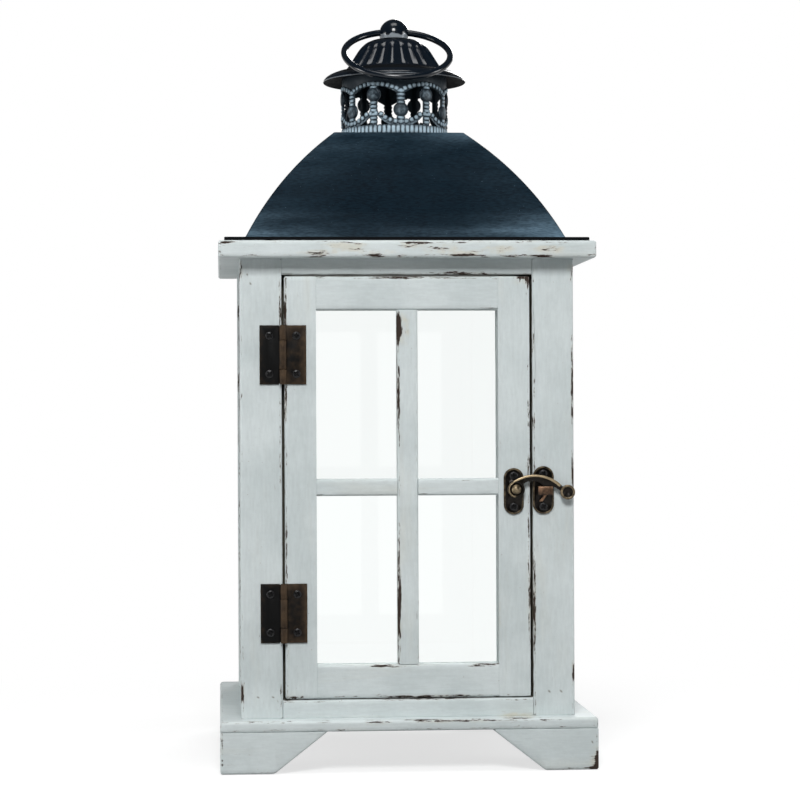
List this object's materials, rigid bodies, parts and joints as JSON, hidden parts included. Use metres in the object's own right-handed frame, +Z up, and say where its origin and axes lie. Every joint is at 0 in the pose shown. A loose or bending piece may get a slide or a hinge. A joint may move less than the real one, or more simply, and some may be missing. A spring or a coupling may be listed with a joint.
{
  "type": "candle lantern",
  "caption": "Square wooden house lantern with a glazed hinged door, swing latch, curved metal roof, pierced gallery, fluted crown and carrying ring.",
  "frame": {"origin": "on the floor under the middle of the case", "axes": "+Z up, -Y towards the door, +X to the right of someone who faces the door"},
  "size_m": [0.243, 0.243, 0.5013],
  "materials": {
    "white_paint": "worn matt white paint over dark wood",
    "slate_roof": "satin slate blue",
    "grey_gallery": "rubbed blue-grey",
    "black_enamel": "gloss black",
    "dark_bronze": "dark antique bronze",
    "antique_brass": "antique brass",
    "black_steel": "blackened",
    "window_glass": "clear"
  },
  "bodies": {
    "case": {"base_board": "white_paint", "cap_board": "white_paint", "crown": "black_enamel", "door_stop": "white_paint", "finial": "black_enamel", "finial_nut": "black_steel", "foot_front_left": "white_paint", "foot_front_right": "white_paint", "foot_rear_left": "white_paint", "foot_rear_right": "white_paint", "front_head_rail": "white_paint", "front_sill": "white_paint", "gallery": "grey_gallery", "hinge_pin_lower": "dark_bronze", "hinge_pin_upper": "dark_bronze", "hinge_post_leaf_lower": "dark_bronze", "hinge_post_leaf_upper": "dark_bronze", "hinge_post_screws": "black_steel", "hinge_stop": "white_paint", "keeper_plate": "antique_brass", "keeper_screws": "black_steel", "left_bottom_rail": "white_paint", "left_cross_bar": "white_paint", "left_glass": "window_glass", "left_top_rail": "white_paint", "left_upright_bar": "white_paint", "post_front_left": "white_paint", "post_front_right": "white_paint", "post_rear_left": "white_paint", "post_rear_right": "white_paint", "rear_bottom_rail": "white_paint", "rear_glass": "window_glass", "rear_top_rail": "white_paint", "right_bottom_rail": "white_paint", "right_cross_bar": "white_paint", "right_glass": "window_glass", "right_top_rail": "white_paint", "right_upright_bar": "white_paint", "roof_nails": "black_steel", "roof_shell": "slate_roof"},
    "door": {"door_stile_left": "white_paint", "door_stile_right": "white_paint", "door_rail_bottom": "white_paint", "door_rail_top": "white_paint", "door_upright_bar": "white_paint", "door_cross_bar": "white_paint", "door_glass": "window_glass", "door_beads": "white_paint", "hinge_door_leaf_upper": "dark_bronze", "hinge_door_leaf_lower": "dark_bronze", "hinge_door_screws": "black_steel", "latch_plate": "antique_brass", "latch_screws": "black_steel", "latch_rivet": "antique_brass"},
    "latch_arm": {"latch_arm": "antique_brass"},
    "ring": {"carry_ring": "black_enamel"}
  },
  "joints": [
    {"name": "door_swing", "type": "hinge", "parent": "case", "child": "door", "pos_m": [-0.08025, -0.1105, 0.182], "axis": [0, 0, -1], "range_deg": [0, 170]},
    {"name": "latch_swing", "type": "hinge", "parent": "door", "child": "latch_arm", "pos_m": [0.0699, -0.1118, 0.1802], "axis": [0, -1, 0], "range_deg": [0, 110]},
    {"name": "ring_swing", "type": "hinge", "parent": "case", "child": "ring", "pos_m": [0, 0, 0.49255], "axis": [-1, 0, 0], "range_deg": [0, 246]}
  ]
}
